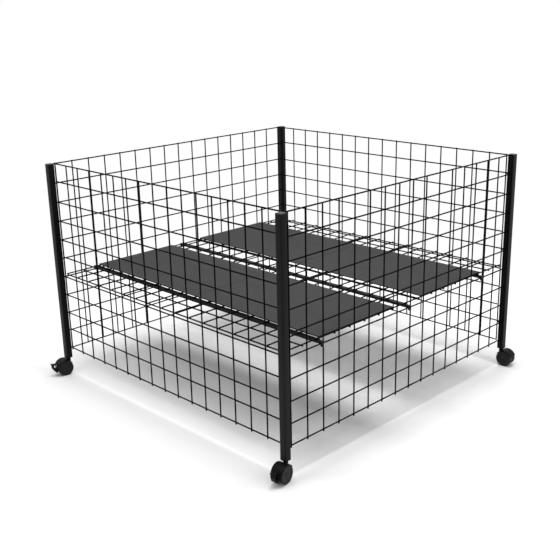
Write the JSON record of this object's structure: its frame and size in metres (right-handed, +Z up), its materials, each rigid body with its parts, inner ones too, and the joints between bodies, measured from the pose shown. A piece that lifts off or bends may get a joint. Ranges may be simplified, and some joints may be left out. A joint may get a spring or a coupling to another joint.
{
  "type": "retail dump bin",
  "caption": "Square open-topped wire dump bin: welded wire panels between square posts on braked twin-wheel castors, with a lift-out wire deck on hooked bars and thin boards.",
  "frame": {"origin": "on the floor under the middle of the bin", "axes": "+Z up, -Y to the front panel, +X to the right side panel"},
  "size_m": [1.0626, 1.1062, 0.687],
  "materials": {
    "black_coat": "satin",
    "cap_plastic": "satin",
    "board_grey": "matte",
    "castor_nylon": "satin",
    "wheel_nylon": "satin",
    "plated_steel": "zinc plated"
  },
  "bodies": {
    "frame": {"side_panel_left": "black_coat", "side_panel_right": "black_coat", "support_bar_front": "black_coat", "support_bar_middle": "black_coat", "support_bar_rear": "black_coat", "post_front_left": "black_coat", "post_cap_front_left": "cap_plastic", "hook_lugs_front_left": "black_coat", "castor_socket_front_left": "castor_nylon", "castor_stem_front_left": "plated_steel", "post_front_right": "black_coat", "post_cap_front_right": "cap_plastic", "hook_lugs_front_right": "black_coat", "castor_socket_front_right": "castor_nylon", "castor_stem_front_right": "plated_steel", "post_rear_right": "black_coat", "post_cap_rear_right": "cap_plastic", "hook_lugs_rear_right": "black_coat", "castor_socket_rear_right": "castor_nylon", "castor_stem_rear_right": "plated_steel", "post_rear_left": "black_coat", "post_cap_rear_left": "cap_plastic", "hook_lugs_rear_left": "black_coat", "castor_socket_rear_left": "castor_nylon", "castor_stem_rear_left": "plated_steel"},
    "front_panel": {"front_panel": "black_coat"},
    "rear_panel": {"rear_panel": "black_coat"},
    "deck": {"deck_mesh": "black_coat"},
    "board_front_left": {"board_front_left": "board_grey"},
    "board_front_right": {"board_front_right": "board_grey"},
    "board_rear_left": {"board_rear_left": "board_grey"},
    "board_rear_right": {"board_rear_right": "board_grey"},
    "castor_front_left": {"castor_housing_front_left": "castor_nylon", "castor_axle_front_left": "plated_steel", "pedal_pin_front_left": "plated_steel"},
    "wheel_a_front_left": {"castor_wheel_a_front_left": "wheel_nylon"},
    "wheel_b_front_left": {"castor_wheel_b_front_left": "wheel_nylon"},
    "brake_front_left": {"brake_pedal_front_left": "castor_nylon"},
    "castor_front_right": {"castor_housing_front_right": "castor_nylon", "castor_axle_front_right": "plated_steel", "pedal_pin_front_right": "plated_steel"},
    "wheel_a_front_right": {"castor_wheel_a_front_right": "wheel_nylon"},
    "wheel_b_front_right": {"castor_wheel_b_front_right": "wheel_nylon"},
    "brake_front_right": {"brake_pedal_front_right": "castor_nylon"},
    "castor_rear_right": {"castor_housing_rear_right": "castor_nylon", "castor_axle_rear_right": "plated_steel"},
    "wheel_a_rear_right": {"castor_wheel_a_rear_right": "wheel_nylon"},
    "wheel_b_rear_right": {"castor_wheel_b_rear_right": "wheel_nylon"},
    "castor_rear_left": {"castor_housing_rear_left": "castor_nylon", "castor_axle_rear_left": "plated_steel"},
    "wheel_a_rear_left": {"castor_wheel_a_rear_left": "wheel_nylon"},
    "wheel_b_rear_left": {"castor_wheel_b_rear_left": "wheel_nylon"}
  },
  "joints": [
    {"name": "front_panel_lift", "type": "slide", "parent": "frame", "child": "front_panel", "axis": [0, 0, 1], "range_m": [0, 0.008]},
    {"name": "rear_panel_lift", "type": "slide", "parent": "frame", "child": "rear_panel", "axis": [0, 0, 1], "range_m": [0, 0.008]},
    {"name": "deck_lift", "type": "slide", "parent": "frame", "child": "deck", "axis": [0, 0, 1], "range_m": [0, 0.36]},
    {"name": "board_front_left_lift", "type": "slide", "parent": "deck", "child": "board_front_left", "axis": [0, 0, 1], "range_m": [0, 0.35]},
    {"name": "board_front_right_lift", "type": "slide", "parent": "deck", "child": "board_front_right", "axis": [0, 0, 1], "range_m": [0, 0.35]},
    {"name": "board_rear_left_lift", "type": "slide", "parent": "deck", "child": "board_rear_left", "axis": [0, 0, 1], "range_m": [0, 0.35]},
    {"name": "board_rear_right_lift", "type": "slide", "parent": "deck", "child": "board_rear_right", "axis": [0, 0, 1], "range_m": [0, 0.35]},
    {"name": "swivel_front_left", "type": "hinge", "parent": "frame", "child": "castor_front_left", "pos_m": [-0.4935, -0.4995, 0.055], "axis": [0, 0, 1], "continuous": true},
    {"name": "wheel_a_spin_front_left", "type": "hinge", "parent": "castor_front_left", "child": "wheel_a_front_left", "pos_m": [-0.49645, -0.51624, 0.025], "axis": [0.9848, -0.1736, 0], "continuous": true},
    {"name": "wheel_b_spin_front_left", "type": "hinge", "parent": "castor_front_left", "child": "wheel_b_front_left", "pos_m": [-0.49645, -0.51624, 0.025], "axis": [0.9848, -0.1736, 0], "continuous": true},
    {"name": "brake_press_front_left", "type": "hinge", "parent": "castor_front_left", "child": "brake_front_left", "pos_m": [-0.50149, -0.5448, 0.03852], "axis": [0.9848, -0.1736, 0], "range_deg": [0, 6.5]},
    {"name": "swivel_front_right", "type": "hinge", "parent": "frame", "child": "castor_front_right", "pos_m": [0.4935, -0.4995, 0.055], "axis": [0, 0, 1], "continuous": true},
    {"name": "wheel_a_spin_front_right", "type": "hinge", "parent": "castor_front_right", "child": "wheel_a_front_right", "pos_m": [0.49645, -0.51624, 0.025], "axis": [0.9848, 0.1736, 0], "continuous": true},
    {"name": "wheel_b_spin_front_right", "type": "hinge", "parent": "castor_front_right", "child": "wheel_b_front_right", "pos_m": [0.49645, -0.51624, 0.025], "axis": [0.9848, 0.1736, 0], "continuous": true},
    {"name": "brake_press_front_right", "type": "hinge", "parent": "castor_front_right", "child": "brake_front_right", "pos_m": [0.50149, -0.5448, 0.03852], "axis": [0.9848, 0.1736, 0], "range_deg": [0, 6.5]},
    {"name": "swivel_rear_right", "type": "hinge", "parent": "frame", "child": "castor_rear_right", "pos_m": [0.4935, 0.4995, 0.055], "axis": [0, 0, 1], "continuous": true},
    {"name": "wheel_a_spin_rear_right", "type": "hinge", "parent": "castor_rear_right", "child": "wheel_a_rear_right", "pos_m": [0.51046, 0.50069, 0.025], "axis": [-0.0698, 0.9976, 0], "continuous": true},
    {"name": "wheel_b_spin_rear_right", "type": "hinge", "parent": "castor_rear_right", "child": "wheel_b_rear_right", "pos_m": [0.51046, 0.50069, 0.025], "axis": [-0.0698, 0.9976, 0], "continuous": true},
    {"name": "swivel_rear_left", "type": "hinge", "parent": "frame", "child": "castor_rear_left", "pos_m": [-0.4935, 0.4995, 0.055], "axis": [0, 0, 1], "continuous": true},
    {"name": "wheel_a_spin_rear_left", "type": "hinge", "parent": "castor_rear_left", "child": "wheel_a_rear_left", "pos_m": [-0.49987, 0.51526, 0.025], "axis": [-0.9272, -0.3746, 0], "continuous": true},
    {"name": "wheel_b_spin_rear_left", "type": "hinge", "parent": "castor_rear_left", "child": "wheel_b_rear_left", "pos_m": [-0.49987, 0.51526, 0.025], "axis": [-0.9272, -0.3746, 0], "continuous": true}
  ]
}
